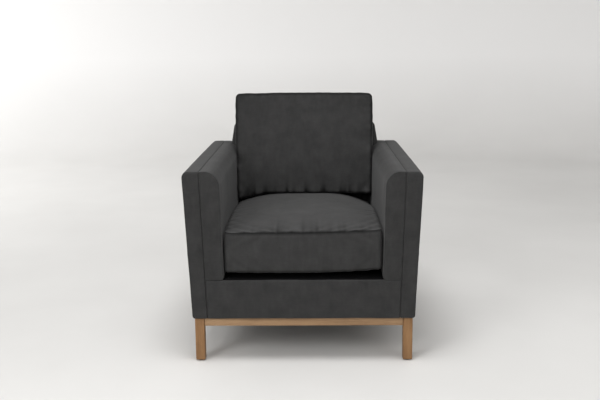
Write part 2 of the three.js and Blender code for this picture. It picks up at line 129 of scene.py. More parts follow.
# A round floor whose rim turns up into a low wall, open above
def addBackdrop():
    flat = backdrop["radius"] - backdrop["bend"]
    bends = backdrop["bendSteps"]
    arc = [math.radians(90 * i / bends) for i in range(bends + 1)]
    rim = [
        (flat + backdrop["bend"] * math.sin(turn), backdrop["bend"] * (1 - math.cos(turn)))
        for turn in arc
    ]
    bm = bmesh.new()
    profile = [(0, 0), *rim, (backdrop["radius"], backdrop["height"])]
    points = [bm.verts.new((r, 0, z - backdrop["drop"])) for r, z in profile]
    line = [bm.edges.new(pair) for pair in zip(points, points[1:])]
    bmesh.ops.spin(
        bm, geom=points + line, cent=(0, 0, 0), axis=(0, 0, 1), dvec=(0, 0, 0),
        angle=2 * math.pi, steps=backdrop["steps"], use_merge=True,
    )
    bmesh.ops.remove_doubles(bm, verts=bm.verts[:], dist=0.1 * mm)
    bmesh.ops.recalc_face_normals(bm, faces=bm.faces[:])
    mesh = bpy.data.meshes.new("floor")
    bm.to_mesh(mesh)
    bm.free()
    for face in mesh.polygons:
        face.use_smooth = True
    floor = bpy.data.objects.new("floor", mesh)
    scene.collection.objects.link(floor)
    mesh.materials.append(looks["floor"])
    print("floor done")


# Materials

class Value:
    # an output socket: sums on it add Math nodes
    def __init__(self, look, socket):
        self.look = look
        self.socket = socket

    def maths(self, operation, other, swapped=False):
        pair = (other, self) if swapped else (self, other)
        return self.look.add("Math", {"operation": operation}, dict(enumerate(pair)))

    def __add__(self, other):
        return self.maths("ADD", other)

    def __radd__(self, other):
        return self.maths("ADD", other, True)

    def __sub__(self, other):
        return self.maths("SUBTRACT", other)

    def __rsub__(self, other):
        return self.maths("SUBTRACT", other, True)

    def __mul__(self, other):
        return self.maths("MULTIPLY", other)

    def __rmul__(self, other):
        return self.maths("MULTIPLY", other, True)


class Look:
    def __init__(self, name, fixed):
        self.material = bpy.data.materials.new(name)
        self.material.use_nodes = True
        self.tree = self.material.node_tree
        self.shader = self.tree.nodes["Principled BSDF"]
        for socket, value in fixed.items():
            self.shader.inputs[socket].default_value = value
        self.space = self.add("TexCoord", {}, {}, "Object")
        looks[name] = self.material

    def add(self, kind, settings, sockets, output=0):
        node = self.tree.nodes.new("ShaderNode" + kind)
        for name, setting in settings.items():
            if name == "stops":
                self.setStops(node.color_ramp, setting)
            else:
                setattr(node, name, setting)
        for name, value in sockets.items():
            self.feed(node.inputs[name], value)
        return Value(self, node.outputs[output])

    def setStops(self, ramp, stops):
        while len(ramp.elements) < len(stops):
            ramp.elements.new(1)
        for element, (place, colour) in zip(ramp.elements, stops):
            element.position = place
            element.color = (*colour, 1)

    def feed(self, socket, value):
        if isinstance(value, Value):
            self.tree.links.new(value.socket, socket)
        else:
            socket.default_value = value

    def put(self, name, value):
        self.feed(self.shader.inputs[name], value)

    def stretched(self, scale):
        return self.add("Mapping", {}, {"Vector": self.space, "Scale": scale})

    def noise(self, space, scale, detail=2, roughness=0.5):
        sockets = {"Vector": space, "Scale": scale, "Detail": detail, "Roughness": roughness}
        return self.add("TexNoise", {}, sockets, "Fac")

    def between(self, value, low, high):  # 0 to 1 as the value goes from low to high
        sockets = {"Value": value, "From Min": low, "From Max": high}
        return self.add("MapRange", {"clamp": True}, sockets)

    def mix(self, mask, first, second):
        sockets = {0: mask, 6: first, 7: second}
        return self.add("Mix", {"data_type": "RGBA"}, sockets, 2)

    def tones(self, mask, stops):
        return self.add("ValToRGB", {"stops": stops}, {"Fac": mask}, "Color")

    def bump(self, height, strength, depth):
        sockets = {"Height": height, "Strength": strength, "Distance": depth}
        self.put("Normal", self.add("Bump", {}, sockets))


velvet = {
    "shadow": (0.0235, 0.0233, 0.0233),
    "middle": (0.0345, 0.0343, 0.0343),
    "light": (0.0465, 0.0463, 0.0463),
    # painted shade: the near-black colour laid along the cushions' seams and in the folds of their
    # gathers
    "seam": (0.003, 0.003, 0.003, 1),
    "headFrom": 600 * mm,  # the head end of the back cushion
    "headTo": 840 * mm,
}
# Painted light: a shift in the velvet's tone, all over, on faces that look up, and at the head end;
# the two looks are lit and shaded copies of one cloth. Faces that look sideways darken by the side
# value, painted shade
paintedLightShift = {
    "velvet": {"all": -0.045, "up": -0.05, "side": 0.15, "high": 0},
    "cushion_velvet": {"all": 0, "up": 0.06, "side": 0.10, "high": -0.12},
}


def velvetLook(name):
    look = Look(name, {
        "Specular IOR Level": 0.15,
        "Sheen Weight": 0.08,
        "Sheen Roughness": 0.5,
        "Sheen Tint": (1.0, 1.0, 1.0, 1),
    })
    stroked = look.noise(look.space, 17, 5, 0.6)  # where a hand has brushed the nap
    strokes = look.noise(look.stretched((70, 70, 24)), 1, 3, 0.6)
    slubs = look.noise(look.stretched((35, 35, 300)), 1, 2)
    pile = look.noise(look.space, 560, 3, 0.7)
    nap = stroked * 0.44 + strokes * 0.20 + slubs * 0.10 + pile * 0.26
    # Painted light: faces that look up are lightened or darkened, and faces that look sideways are
    # darkened
    normal = look.add("TexCoord", {}, {}, "Normal")
    upwards = look.add("SeparateXYZ", {}, {"Vector": normal}, "Z").maths("MAXIMUM", 0)
    sideways = look.add("SeparateXYZ", {}, {"Vector": normal}, "X").maths("ABSOLUTE", 0)
    height = look.add("SeparateXYZ", {}, {"Vector": look.space}, "Z")
    high = look.between(height, velvet["headFrom"], velvet["headTo"])
    shift = paintedLightShift[name]
    paintedLightTone = nap + shift["all"] + high * shift["high"]
    paintedLightTone = paintedLightTone + upwards * shift["up"] - sideways * shift["side"]
    stops = [(0.32, velvet["shadow"]), (0.5, velvet["middle"]), (0.68, velvet["light"])]
    cloth = look.tones(paintedLightTone, stops)
    # Painted shade: a point mask darkens the cloth along the cushions' seams and in their gathers
    seam = look.add("Attribute", {"attribute_name": "seam"}, {}, "Fac")
    look.put("Base Color", look.mix(seam, cloth, velvet["seam"]))
    look.put("Roughness", 0.80 + nap * 0.16)
    look.bump(pile * 0.6 + slubs * 0.25 + strokes * 0.3, 0.35, 0.5 * mm)


oak = {
    "dark": (0.118, 0.056, 0.021),
    "middle": (0.240, 0.126, 0.052),
    "light": (0.325, 0.184, 0.084),
}
# Painted light: the rails' oak is a lighter copy of the legs' oak, making up for the light they
# lose under the body
oakRailPaintedLight = {
    "dark": (0.150, 0.082, 0.038),
    "middle": (0.305, 0.185, 0.096),
    "light": (0.400, 0.255, 0.140),
}
softwood = {
    "dark": (0.40, 0.24, 0.11),
    "middle": (0.56, 0.38, 0.20),
    "light": (0.66, 0.48, 0.28),
}
grainStretch = 0.055


# Timber whose grain runs along one axis
def timberLook(name, along, tones, finish):
    look = Look(name, {"Specular IOR Level": finish["shine"]})
    scale = [1.0, 1.0, 1.0]
    scale[along] = grainStretch
    run = look.stretched(scale)
    figure = look.noise(run, 46, 5, 0.6)
    fibre = look.noise(run, 330, 3, 0.65)
    pores = look.between(look.noise(run, 900, 2), 0.62, 0.72)
    cloudy = look.noise(look.space, 8, 2)
    grain = figure * 0.55 + fibre * 0.25 + cloudy * 0.2
    stops = [(0.33, tones["dark"]), (0.5, tones["middle"]), (0.66, tones["light"])]
    colour = look.tones(grain, stops)
    look.put("Base Color", look.mix(pores * 0.45, colour, (*tones["dark"], 1)))
    look.put("Roughness", finish["rough"] + fibre * 0.2)
    look.bump(fibre * 0.5 - pores * 0.8, 0.4, 0.25 * mm)


plywood = {
    "dark": (0.30, 0.19, 0.09),
    "middle": (0.47, 0.33, 0.17),
    "light": (0.58, 0.43, 0.24),
}


def plywoodLook():
    look = Look("plywood", {"Specular IOR Level": 0.3})
    layer = look.add("TexWave", {"bands_direction": "X"}, {
        "Vector": look.space, "Scale": 105.0, "Distortion": 0.4, "Detail": 1.0,
    }, "Fac")
    face = look.noise(look.stretched((1, 1, 0.08)), 60, 4, 0.6)
    stops = [(0.2, plywood["dark"]), (0.5, plywood["middle"]), (0.8, plywood["light"])]
    look.put("Base Color", look.tones(layer * 0.35 + face * 0.6, stops))
    look.put("Roughness", 0.62 + face * 0.2)
    look.bump(face, 0.3, 0.3 * mm)


foam = {"dark": (0.62, 0.53, 0.34), "light": (0.80, 0.73, 0.55)}


def foamLook():
    look = Look("foam", {"Specular IOR Level": 0.1})
    cells = look.add("TexVoronoi", {}, {"Vector": look.space, "Scale": 650.0}, "Distance")
    cloud = look.noise(look.space, 14, 3)
    stops = [(0.3, foam["dark"]), (0.7, foam["light"])]
    look.put("Base Color", look.tones(cloud * 0.6 + cells * 0.4, stops))
    look.put("Roughness", 0.9 + cloud * 0.1)
    look.bump(cells, 0.6, 0.8 * mm)


# Partly the real black platform and dust cloth, partly painted shade: darker than real cloth so the
# slot under the seat cushion reads black
blackClothAndShade = {"dark": (0.001, 0.001, 0.001), "light": (0.005, 0.005, 0.0055)}


def blackClothLook():
    look = Look("black_cloth", {"Specular IOR Level": 0.05})
    fibres = look.noise(look.space, 420, 4, 0.75)
    points = look.add("TexVoronoi", {}, {
        "Vector": look.space, "Scale": 480.0, "Randomness": 0.15,
    }, "Distance")
    stops = [(0.3, blackClothAndShade["dark"]), (0.75, blackClothAndShade["light"])]
    look.put("Base Color", look.tones(fibres * 0.7 + points * 0.4, stops))
    look.put("Roughness", 0.84 + fibres * 0.14)
    look.bump(points * 0.7 + fibres * 0.4, 0.5, 0.4 * mm)


strap = {"dark": (0.06, 0.045, 0.028), "light": (0.23, 0.18, 0.115)}


def strapLook():
    look = Look("strap", {"Specular IOR Level": 0.15})
    warp = look.add("TexWave", {"bands_direction": "Z"}, {
        "Vector": look.space, "Scale": 130.0, "Distortion": 0.5,
    }, "Fac")
    weft = look.add("TexWave", {"bands_direction": "X"}, {
        "Vector": look.space, "Scale": 90.0, "Distortion": 0.5,
    }, "Fac")
    weave = warp * 0.6 + weft * 0.4
    stops = [(0.2, strap["dark"]), (0.8, strap["light"])]
    look.put("Base Color", look.tones(weave, stops))
    look.put("Roughness", 0.8 + weave * 0.15)
    look.bump(weave, 0.6, 0.5 * mm)


steel = {"dark": (0.32, 0.33, 0.34), "light": (0.50, 0.51, 0.53)}


def steelLook():
    look = Look("steel", {"Metallic": 1.0})
    drawn = look.noise(look.space, 240, 3, 0.6)
    stops = [(0.3, steel["dark"]), (0.7, steel["light"])]
    look.put("Base Color", look.tones(drawn, stops))
    look.put("Roughness", 0.24 + drawn * 0.22)
    look.bump(drawn, 0.12, 0.1 * mm)


plastic = {"dark": (0.008, 0.008, 0.009), "light": (0.022, 0.022, 0.023)}


def plasticLook():
    look = Look("black_plastic", {"Specular IOR Level": 0.45})
    grained = look.noise(look.space, 700, 2)
    worn = look.noise(look.space, 40, 3)
    stops = [(0.3, plastic["dark"]), (0.8, plastic["light"])]
    look.put("Base Color", look.tones(worn, stops))
    look.put("Roughness", 0.38 + worn * 0.25)
    look.bump(grained, 0.25, 0.15 * mm)


zipTape = {"dark": (0.010, 0.010, 0.011), "light": (0.034, 0.034, 0.036)}


def zipTapeLook():
    look = Look("zip_tape", {"Specular IOR Level": 0.25})
    ribs = look.add("TexWave", {"bands_direction": "X"}, {
        "Vector": look.space, "Scale": 170.0, "Distortion": 0.2,
    }, "Fac")
    fluff = look.noise(look.space, 300, 3)
    stops = [(0.2, zipTape["dark"]), (0.8, zipTape["light"])]
    look.put("Base Color", look.tones(ribs * 0.6 + fluff * 0.4, stops))
    look.put("Roughness", 0.7 + fluff * 0.2)
    look.bump(ribs, 0.5, 0.3 * mm)


studio = {
    "dark": (0.63, 0.623, 0.61),
    "light": (0.67, 0.663, 0.65),
    "wall": (0.82, 0.815, 0.81, 1),
    "wallFrom": 0.9,  # height at which the floor has become the wall
}


def floorLook():
    look = Look("floor", {"Specular IOR Level": 0.1})
    cloud = look.noise(look.space, 1.4, 4)
    ground = look.tones(cloud, [(0.3, studio["dark"]), (0.7, studio["light"])])
    height = look.add("SeparateXYZ", {}, {"Vector": look.space}, "Z")
    rising = look.between(height, 0, studio["wallFrom"])
    look.put("Base Color", look.mix(rising, ground, studio["wall"]))
    look.put("Roughness", 0.85)


satin = {"shine": 0.35, "rough": 0.40}
sawn = {"shine": 0.15, "rough": 0.70}


def addLooks():
    for along, axis in enumerate("xyz"):
        # oak along x and y, on the rails, is the lighter copy with painted light
        timberLook("oak_" + axis, along, oak if axis == "z" else oakRailPaintedLight, satin)
        timberLook("softwood_" + axis, along, softwood, sawn)
    for name in paintedLightShift:
        velvetLook(name)
    for make in (
        plywoodLook, foamLook, blackClothLook, strapLook,
        steelLook, plasticLook, zipTapeLook, floorLook,
    ):
        make()
    print("materials done")


# Modelling helpers

def boxOf(low, high):
    bm = bmesh.new()
    low, high = Vector(low), Vector(high)
    place = Matrix.Translation((low + high) / 2) @ Matrix.Diagonal((*(high - low), 1))
    bmesh.ops.create_cube(bm, size=1, matrix=place)
    return bm


# Cuts through everything, square to one axis
def cuts(bm, axis, places):
    normal = [0, 0, 0]
    normal[axis] = 1
    for place in places:
        at = [0, 0, 0]
        at[axis] = place
        everything = bm.verts[:] + bm.edges[:] + bm.faces[:]
        bmesh.ops.bisect_plane(bm, geom=everything, plane_co=at, plane_no=normal, dist=1e-6)


# Places about a step apart between two ends, kept a lip away from both
def evenly(low, high, step, lip=0.0):
    count = max(1, round((high - low - 2 * lip) / step))
    first, last = low + lip, high - lip
    return [first + (last - first) * i / count for i in range(count + 1)]


def extent(bm):
    low = [min(vert.co[axis] for vert in bm.verts) for axis in range(3)]
    high = [max(vert.co[axis] for vert in bm.verts) for axis in range(3)]
    return low, high


def gridCuts(bm, step, lip):
    low, high = extent(bm)
    for axis in range(3):
        if high[axis] - low[axis] > 3 * lip:
            cuts(bm, axis, evenly(low[axis], high[axis], step, lip))


# 0 to 1 with soft ends as the value goes from low to high
def ramp(value, low, high):
    share = max(0, min(1, (value - low) / (high - low)))
    return share * share * (3 - 2 * share)


def edgesWhere(bm, test):
    return [edge for edge in bm.edges if all(test(vert.co) for vert in edge.verts)]


def roundOff(bm, edges, radius, segments):
    bmesh.ops.bevel(
        bm, geom=edges, offset=radius, segments=segments, profile=0.5,
        affect="EDGES", material=-1, clamp_overlap=True,
    )


corner = 50  # degrees at which an edge counts as a corner


def sharpEdges(bm, angle=corner):
    return [
        edge for edge in bm.edges
        if len(edge.link_faces) == 2 and edge.calc_face_angle(0) > math.radians(angle)
    ]


squareTo = 0.9  # a face looks along an axis when its normal has more than this of it
alongFace = 0.6  # and a point's surface runs along an axis when its normal has less


def facing(face, axis, sign):
    return face.normal[axis] * sign > squareTo


def shiftAll(bm, moves):
    for vert, move in zip(bm.verts, moves):
        vert.co += move


# A distance from the middle, to the side where x lies
def toSide(x, half):
    return half if x > 0 else -half


unevenness = {"broad": 11, "fine": 31, "fineShare": 0.4}  # waves a metre


# The surface swells between its edges and wanders a little, as hand-fitted cloth does
def puff(bm, full, keep=None):
    bm.normal_update()
    low, high = extent(bm)
    wander = full["wander"]
    moves = []
    for vert in bm.verts:
        place, normal = vert.co, vert.normal
        flat = [axis for axis in range(3) if abs(normal[axis]) < alongFace]
        clear = min((min(place[a] - low[a], high[a] - place[a]) for a in flat), default=0)
        rise = full["swell"] * (1 - math.exp(-clear / full["reach"]))
        broad = noise.noise(place * unevenness["broad"])
        fine = unevenness["fineShare"] * noise.noise(place * unevenness["fine"])
        share = keep(place, normal) if keep else 1
        moves.append(normal * (rise + wander * (broad + fine)) * share)
    shiftAll(bm, moves)


def newPiece(name, bm, body, nodes, look, smooth=True, seam=None):
    mesh = bpy.data.meshes.new(name)
    bm.to_mesh(mesh)
    bm.free()
    for face in mesh.polygons:
        face.use_smooth = smooth
    # a point mask of painted shade, darkest along seams and in the folds of gathers
    if seam:
        mark = mesh.attributes.new("seam", "FLOAT", "POINT")
        mark.data.foreach_set("value", seam)
    mesh.materials.append(looks[look])
    piece = bpy.data.objects.new(name, mesh)
    scene.collection.objects.link(piece)
    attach(piece, body)
    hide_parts(*nodes)
    return piece


def thicken(piece, thickness):
    wall = piece.modifiers.new("wall", "SOLIDIFY")
    wall.thickness = thickness
    wall.offset = -1
    wall.use_even_offset = True


def smoothOut(piece):
    finer = piece.modifiers.new("finer", "SUBSURF")
    finer.levels = 1
    finer.render_levels = 1


# Draws new walls out of some faces and returns the points to be moved
def drawOut(bm, faces):
    drawn = bmesh.ops.extrude_face_region(bm, geom=faces)
    return [part for part in drawn["geom"] if isinstance(part, bmesh.types.BMVert)]


def mirrorAcross(bm, side):
    if side == "left":
        bmesh.ops.scale(bm, vec=(-1, 1, 1), verts=bm.verts[:])
        bmesh.ops.reverse_faces(bm, faces=bm.faces[:])


# A merged copy of a hard node with its sharp edges eased
def eased(node, radius):
    bm = bmesh.new()
    bm.from_mesh(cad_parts[node].data)
    bmesh.ops.remove_doubles(bm, verts=bm.verts[:], dist=0.01 * mm)
    bmesh.ops.dissolve_limit(
        bm, angle_limit=math.radians(1), verts=bm.verts[:], edges=bm.edges[:],
    )
    roundOff(bm, sharpEdges(bm, 40), radius, 2)
    return bm


# Base

base = {"easedEdge": 1.1 * mm, "glideEdge": 0.4 * mm, "screwEdge": 0.3 * mm}
ends = ("front", "rear")
sides = ("left", "right")


def hardPiece(node, radius, look):
    piece = newPiece(node + "_finished", eased(node, radius), "chair", [node], look)
    piece.data.set_sharp_from_angle(angle=math.radians(corner))


def addBase():
    for end in ends:
        hardPiece(f"{end}_base_rail", base["easedEdge"], "oak_x")
        for side in sides:
            at = f"{end}_{side}"
            hardPiece(f"{at}_leg", base["easedEdge"], "oak_z")
            hardPiece(f"{at}_glide", base["glideEdge"], "black_plastic")
            hardPiece(f"{at}_corner_block", base["easedEdge"], "softwood_x")
            hardPiece(f"{at}_base_screw", base["screwEdge"], "steel")
    for side in sides:
        hardPiece(f"{side}_base_rail", base["easedEdge"], "oak_y")
    print("base done")


# Hidden body frame: the nodes stay, each with its own timber or metal

hidden = {
    "softwood_x": ["front_seat_rail", "rear_seat_rail", "back_top_rail"],
    "softwood_y": ["left_seat_rail", "right_seat_rail", "left_arm_top_rail", "right_arm_top_rail"],
    "softwood_z": [f"{side}_arm_{end}_post" for side in sides for end in ends],
    "plywood": [f"{side}_{part}" for side in sides for part in ("arm_inner_panel", "back_post")],
    "steel": [f"seat_spring_{i}" for i in range(1, 6)],
    "strap": [f"back_webbing_{i}" for i in range(1, 4)],
}


def dressHidden():
    for look, nodes in hidden.items():
        for name in nodes:
            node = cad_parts[name]
            node.data.materials.clear()
            node.data.materials.append(looks[look])
    print("body frame dressed")


# Arms

arm = {
    "seamLow": 327 * mm,  # the seam between slab and pad leans outwards
    "seamHigh": 343 * mm,
    "outerLow": 378 * mm,
    "topEdge": 20 * mm,
    "sewnEdge": 4.2 * mm,
    "step": 14 * mm,
    "cloth": 3 * mm,
    "rim": 12 * mm,
    "coverFull": {"swell": 1.3 * mm, "reach": 24 * mm, "wander": 0.8 * mm},
    "hem": 8 * mm,
    "innerFlare": 0.027,
    "innerEdge": 46 * mm,
    "innerX": 300 * mm,  # what lies nearer the middle is the pad's inner side
    "seamClear": 2.3 * mm,  # the front edge is rounded only this far from the seam
    "frontEdge": 13 * mm,
    "footEdge": 8 * mm,
    "padStep": 12 * mm,
    "padLip": 10 * mm,
    "padFull": {"swell": 2.6 * mm, "reach": 26 * mm, "wander": 1.0 * mm},
    "seatTop": 478 * mm,  # below it the seat cushion holds the pad flat
    "freeing": 60 * mm,
    "heldShare": 0.25,
    "ripple": {"amount": 1.2 * mm, "reach": 70 * mm, "along": 34, "up": 5},
    "rise": {"left": 3.5 * mm, "right": 0.5 * mm},  # hand stuffing leaves one arm fuller
    "riseFrom": 560 * mm,
}
back = {
    "foot": Vector((0, 280 * mm, 298 * mm)),  # the raked front, where it meets the deck
    "rake": 0.1397,
    "halfWidth": 309 * mm,
    "shoulderX": 300 * mm,
    "shoulderZ": 714 * mm,
    "shoulderRound": 22 * mm,
    "frontRound": 17 * mm,
    "roundBelow": 30 * mm,  # how far under the arm tops the front's rounding starts
    "gap": 0.5 * mm,
    "shell": 8 * mm,
    "step": 14 * mm,
    "padLip": 10 * mm,
    "padFull": {"swell": 1.5 * mm, "reach": 30 * mm, "wander": 0.8 * mm},
    "panelLip": 7 * mm,
    "panelEdge": 2.6 * mm,
    "panelFull": {"swell": 2.2 * mm, "reach": 40 * mm, "wander": 1.0 * mm},
}
fit = 0.3 * mm  # between panels that meet
armLow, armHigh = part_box("right_arm_cover")
padLow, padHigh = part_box("right_arm_pad")


def seamAt(z):
    share = (z - armLow.z) / (armHigh.z - armLow.z)
    return arm["seamLow"] + (arm["seamHigh"] - arm["seamLow"]) * share


def backFrontAt(z):
    return back["foot"].y + back["rake"] * (z - back["foot"].z)


def fillUp(bm, side):
    for vert in bm.verts:
        vert.co.z += arm["rise"][side] * ramp(vert.co.z, arm["riseFrom"], armHigh.z)


# A shell, open below and on the side of the pad
def armCover(side):
    bm = boxOf((arm["seamLow"], armLow.y, armLow.z), armHigh)
    for vert in bm.verts:
        if vert.co.x < (arm["seamLow"] + armHigh.x) / 2:
            vert.co.x = seamAt(vert.co.z)
        elif vert.co.z < armLow.z + mm:
            vert.co.x = arm["outerLow"]
    nearTop = armHigh.z - mm
    outerTop = edgesWhere(bm, lambda co: co.z > nearTop and co.x > armHigh.x - mm)
    roundOff(bm, outerTop, arm["topEdge"], 8)
    hem = edgesWhere(bm, lambda co: co.z < armLow.z + mm and co.x > arm["outerLow"] - mm)
    roundOff(bm, hem, arm["hem"], 4)
    roundOff(bm, sharpEdges(bm, 30), arm["sewnEdge"], 3)
    gridCuts(bm, arm["step"], arm["rim"])
    bm.normal_update()
    rim = arm["rim"] - mm

    def isOpen(face):
        place = face.calc_center_median()
        clear = abs(place.y) < armHigh.y - rim
        below = facing(face, 2, -1) and place.x < arm["outerLow"] - 0.7 * arm["rim"]
        inside = facing(face, 0, -1) and armLow.z < place.z < armHigh.z - rim
        return clear and (below or inside)

    openings = [face for face in bm.faces if isOpen(face)]
    bmesh.ops.delete(bm, geom=openings, context="FACES")
    mirrorAcross(bm, side)
    puff(bm, arm["coverFull"], lambda at, normal: 0 if normal.x * at.x < 0 else 1)
    fillUp(bm, side)
    name = f"{side}_arm_cover"
    piece = newPiece(name + "_cloth", bm, "chair", [name], "velvet")
    thicken(piece, arm["cloth"])


def padInnerAt(z):
    return padLow.x + arm["innerFlare"] * (z - padLow.z)


def leanRearOn(bm):
    for vert in bm.verts:
        if vert.co.y > 0:
            vert.co.y = backFrontAt(vert.co.z) - back["gap"]


# The pad ends at the raked back, and a tail of it runs on outside the back
def armPad(side):
    low, high = padLow, padHigh
    bm = boxOf(low, (arm["seamHigh"], backFrontAt(low.z), high.z))
    for vert in bm.verts:
        if vert.co.x < low.x + mm:
            vert.co.x = padInnerAt(vert.co.z)
        else:
            vert.co.x = seamAt(vert.co.z) - fit
    leanRearOn(bm)
    innerTop = edgesWhere(bm, lambda co: co.z > high.z - mm and co.x < low.x + 30 * mm)
    roundOff(bm, innerTop, arm["innerEdge"], 12)
    innerFoot = edgesWhere(bm, lambda co: co.z < low.z + mm and co.x < low.x + mm)
    roundOff(bm, innerFoot, arm["footEdge"], 4)
    leanRearOn(bm)
    notch = back["halfWidth"] + back["gap"]
    cuts(bm, 0, [notch])
    bm.normal_update()
    behind = [f for f in bm.faces if facing(f, 1, 1) and f.calc_center_median().x > notch]
    for vert in drawOut(bm, behind):
        vert.co.y = high.y
    bmesh.ops.recalc_face_normals(bm, faces=bm.faces[:])
    front = edgesWhere(bm, lambda co: co.y < low.y + mm)

    def clearOfSeam(vert):
        return vert.co.x < seamAt(vert.co.z) - arm["seamClear"]

    inFront = [edge for edge in front if any(clearOfSeam(vert) for vert in edge.verts)]
    roundOff(bm, inFront, arm["frontEdge"], 4)
    roundOff(bm, sharpEdges(bm), arm["sewnEdge"], 3)
    gridCuts(bm, arm["padStep"], arm["padLip"])
    mirrorAcross(bm, side)

    def keep(place, normal):
        if abs(normal.x) < alongFace or abs(place.x) > arm["innerX"]:
            return 1
        above = max(0, place.z - arm["seatTop"])
        return min(1, arm["heldShare"] + above / arm["freeing"])

    puff(bm, arm["padFull"], keep)
    rippleFront(bm, low.y)
    fillUp(bm, side)
    name = f"{side}_arm_pad"
    piece = newPiece(name + "_soft", bm, "chair", [name], "velvet")


# Upright ripples where the cloth turns round the front of the pad
def rippleFront(bm, frontY):
    ripple = arm["ripple"]
    for vert in bm.verts:
        if abs(vert.co.x) < arm["innerX"] and vert.co.z > arm["seatTop"]:
            wave = noise.noise(Vector((vert.co.y * ripple["along"], vert.co.z * ripple["up"], 3)))
            wave *= ripple["amount"] * math.exp((frontY - vert.co.y) / ripple["reach"])
            vert.co.x -= toSide(vert.co.x, wave)


def addArms():
    for side in sides:
        armCover(side)
        armPad(side)
    print("arms done")


# Front border, seat deck, back and underside

border = {
    "topEdge": 4 * mm,
    "sewnEdge": 3.2 * mm,
    "step": 12 * mm,
    "lip": 8 * mm,
    "full": {"swell": 2.0 * mm, "reach": 30 * mm, "wander": 0.9 * mm},
}


# The ends follow the leaning seams of the arms
def fitBetweenArms(bm):
    for vert in bm.verts:
        vert.co.x = toSide(vert.co.x, seamAt(vert.co.z) - fit)


def frontBorder():
    low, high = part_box("front_border")
    bm = boxOf(low, high)
    fitBetweenArms(bm)
    top = edgesWhere(bm, lambda co: co.z > high.z - mm and co.y < low.y + mm)
    roundOff(bm, top, border["topEdge"], 5)
    roundOff(bm, sharpEdges(bm), border["sewnEdge"], 3)
    gridCuts(bm, border["step"], border["lip"])
    puff(bm, border["full"])
    piece = newPiece("front_border_cloth", bm, "chair", ["front_border"], "velvet")


deck = {
    "front": -404.5 * mm,
    "slope": 50 * mm,
    "fall": 7.2 * mm,
    "slopeStep": 8 * mm,
    "edge": 2.5 * mm,
    "edgeBehind": 10 * mm,  # the edges are rounded only this far behind the slope
    "step": 24 * mm,
    "lip": 8 * mm,
}


# The deck thins out over the top of the border, out of the light under the cushion
def seatDeck():
    low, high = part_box("seat_deck")
    bm = boxOf((low.x, deck["front"], low.z), high)
    slopeEnd = deck["front"] + deck["slope"]
    gridCuts(bm, deck["step"], deck["lip"])
    cuts(bm, 1, evenly(deck["front"], slopeEnd, deck["slopeStep"]))
    for vert in bm.verts:
        near = max(0, 1 - (vert.co.y - deck["front"]) / deck["slope"])
        if vert.co.z > low.z + mm:
            vert.co.z -= deck["fall"] * near ** 2
    full = slopeEnd + deck["edgeBehind"]
    rim = [edge for edge in sharpEdges(bm) if min(v.co.y for v in edge.verts) > full]
    roundOff(bm, rim, deck["edge"], 3)
    nodes = ["seat_deck"]
    # The near-black deck cloth is partly real platform cloth, partly painted shade for the slot
    # under the cushion
    piece = newPiece("seat_deck_cloth", bm, "chair", nodes, "black_cloth")


# The outline narrows above the arms
def drawIn(bm, stepZ):
    rise = back["shoulderZ"] - stepZ
    for vert in bm.verts:
        above = vert.co.z - stepZ
        if above > 0.1 * mm and abs(vert.co.x) > back["shoulderX"] - 5 * mm:
            half = back["halfWidth"] - (back["halfWidth"] - back["shoulderX"]) * above / rise
            vert.co.x = toSide(vert.co.x, half)


def roundShoulders(bm, top):
    outer = edgesWhere(bm, lambda co: co.z > top - mm and abs(co.x) > 200 * mm)
    corners = [edge for edge in outer if abs(edge.verts[0].co.x - edge.verts[1].co.x) < mm]
    roundOff(bm, corners, back["shoulderRound"], 8)


# A shell that is open behind and below
def backPad():
    low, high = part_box("back_inside_pad")
    bm = boxOf(low, high)
    cuts(bm, 2, [armHigh.z])
    drawIn(bm, armHigh.z)
    roundShoulders(bm, high.z)
    for vert in bm.verts:
        if vert.co.y < low.y + mm:
            vert.co.y = backFrontAt(vert.co.z)
    bm.normal_update()
    rearFaces = [f for f in bm.faces if facing(f, 1, 1) or facing(f, 2, -1)]
    bmesh.ops.delete(bm, geom=rearFaces, context="FACES")
    start = armHigh.z - back["roundBelow"]
    rim = [edge for edge in sharpEdges(bm) if min(v.co.z for v in edge.verts) > start]
    roundOff(bm, rim, back["frontRound"], 6)
    gridCuts(bm, back["step"], back["padLip"])
    puff(bm, back["padFull"], lambda at, normal: 0 if abs(normal.x) > alongFace else 1)
    nodes = ["back_inside_pad"]
    piece = newPiece("back_inside_pad_cloth", bm, "chair", nodes, "velvet")
    thicken(piece, back["shell"])


# As wide as the space between the arm covers, and above the arms only as wide as the back
def backOutside():
    low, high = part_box("back_outside_panel")
    stepZ = armHigh.z - fit
    bm = boxOf(low, (high.x, high.y, stepZ))
    fitBetweenArms(bm)
    cuts(bm, 0, [-back["halfWidth"], back["halfWidth"]])
    bm.normal_update()
    upper = [
        f for f in bm.faces
        if facing(f, 2, 1) and abs(f.calc_center_median().x) < back["halfWidth"] - mm
    ]
    for vert in drawOut(bm, upper):
        vert.co.z = high.z
    drawIn(bm, stepZ)
    bmesh.ops.recalc_face_normals(bm, faces=bm.faces[:])
    roundShoulders(bm, high.z)
    roundOff(bm, sharpEdges(bm), back["panelEdge"], 3)
    gridCuts(bm, back["step"], back["panelLip"])
    puff(bm, back["panelFull"], lambda at, normal: 1 if normal.y > 0.5 else 0)
    nodes = ["back_outside_panel"]
    piece = newPiece("back_outside_panel_cloth", bm, "chair", nodes, "velvet")


dust = {
    "step": 16 * mm,
    "thickness": 0.5 * mm,
    "held": 45 * mm,  # the edge that lies flat on the frame
    "sag": 5 * mm,
    "ripple": 0.5 * mm,
    "ripples": 40,  # waves a metre
}


